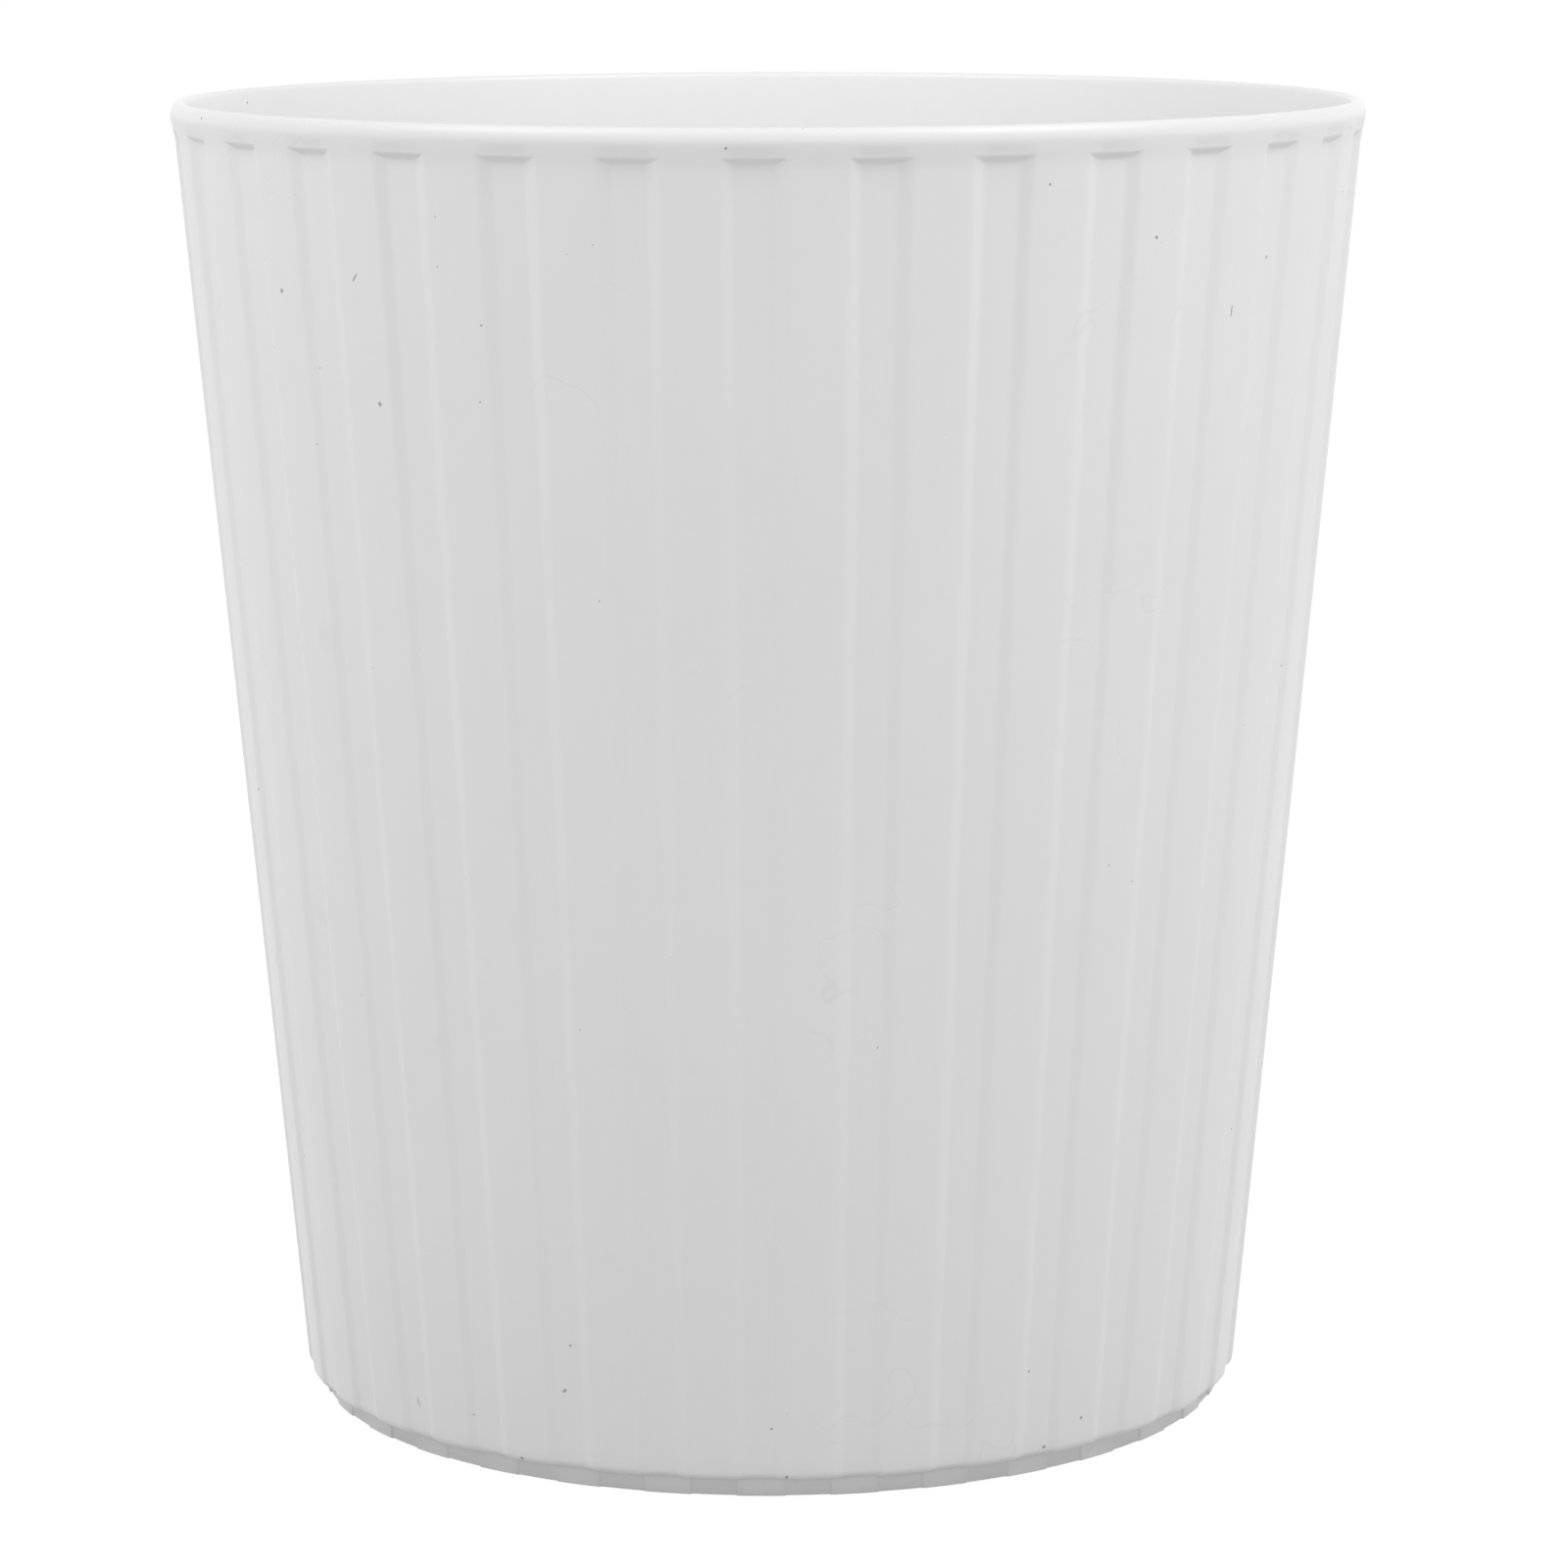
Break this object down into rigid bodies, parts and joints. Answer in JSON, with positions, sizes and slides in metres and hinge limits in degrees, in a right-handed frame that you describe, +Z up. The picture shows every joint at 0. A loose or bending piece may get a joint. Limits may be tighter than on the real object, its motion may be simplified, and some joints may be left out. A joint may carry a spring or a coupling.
{
  "type": "wastebasket",
  "caption": "Round open wastebasket with a tapered, vertically fluted wall, a plain rounded rim, a flat floor and a stepped-in foot ring.",
  "frame": {"origin": "centre of the foot ring's underside, on the surface that the bin stands on", "axes": "+Z up along the bin's axis, out of its mouth; the middle of one flute faces -Y"},
  "size_m": [0.2545, 0.2544, 0.28],
  "materials": {
    "body_plastic": "satin moulded white polypropylene"
  },
  "bodies": {
    "root": {"fluted_wall": "body_plastic", "rim_band": "body_plastic", "floor_panel": "body_plastic", "foot_ring": "body_plastic"}
  },
  "joints": []
}
